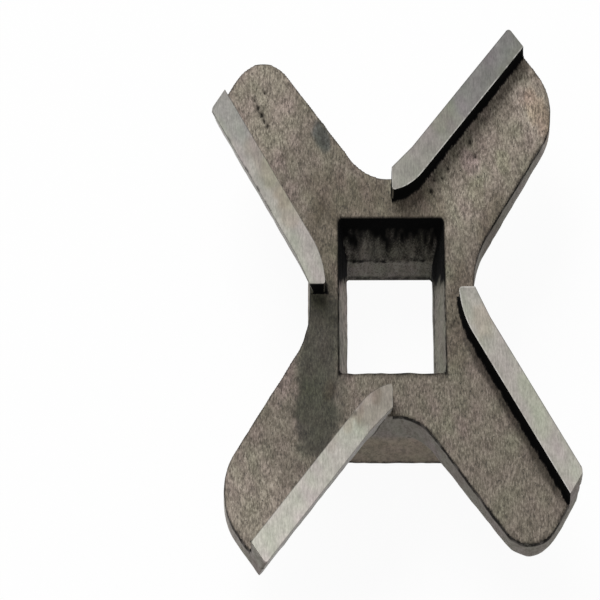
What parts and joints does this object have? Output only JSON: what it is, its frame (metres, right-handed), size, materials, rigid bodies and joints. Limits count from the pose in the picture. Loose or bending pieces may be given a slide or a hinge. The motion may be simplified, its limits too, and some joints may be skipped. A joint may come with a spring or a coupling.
{
  "type": "meat grinder knife",
  "caption": "Cast meat grinder knife: square hub with a tapered square drive hole, and diagonal arms that each carry a ground cutting ridge along the leading side.",
  "frame": {"origin": "centre of the square hub's back face, on the knife's axis", "axes": "+Z along the knife's axis towards the cutting ridges, +X and +Y square to the hub's flat sides"},
  "size_m": [0.0756, 0.0756, 0.0159],
  "materials": {
    "cast_steel": "as cast, with ground ridge faces"
  },
  "bodies": {
    "root": {"grinder_knife": "cast_steel"}
  },
  "joints": []
}
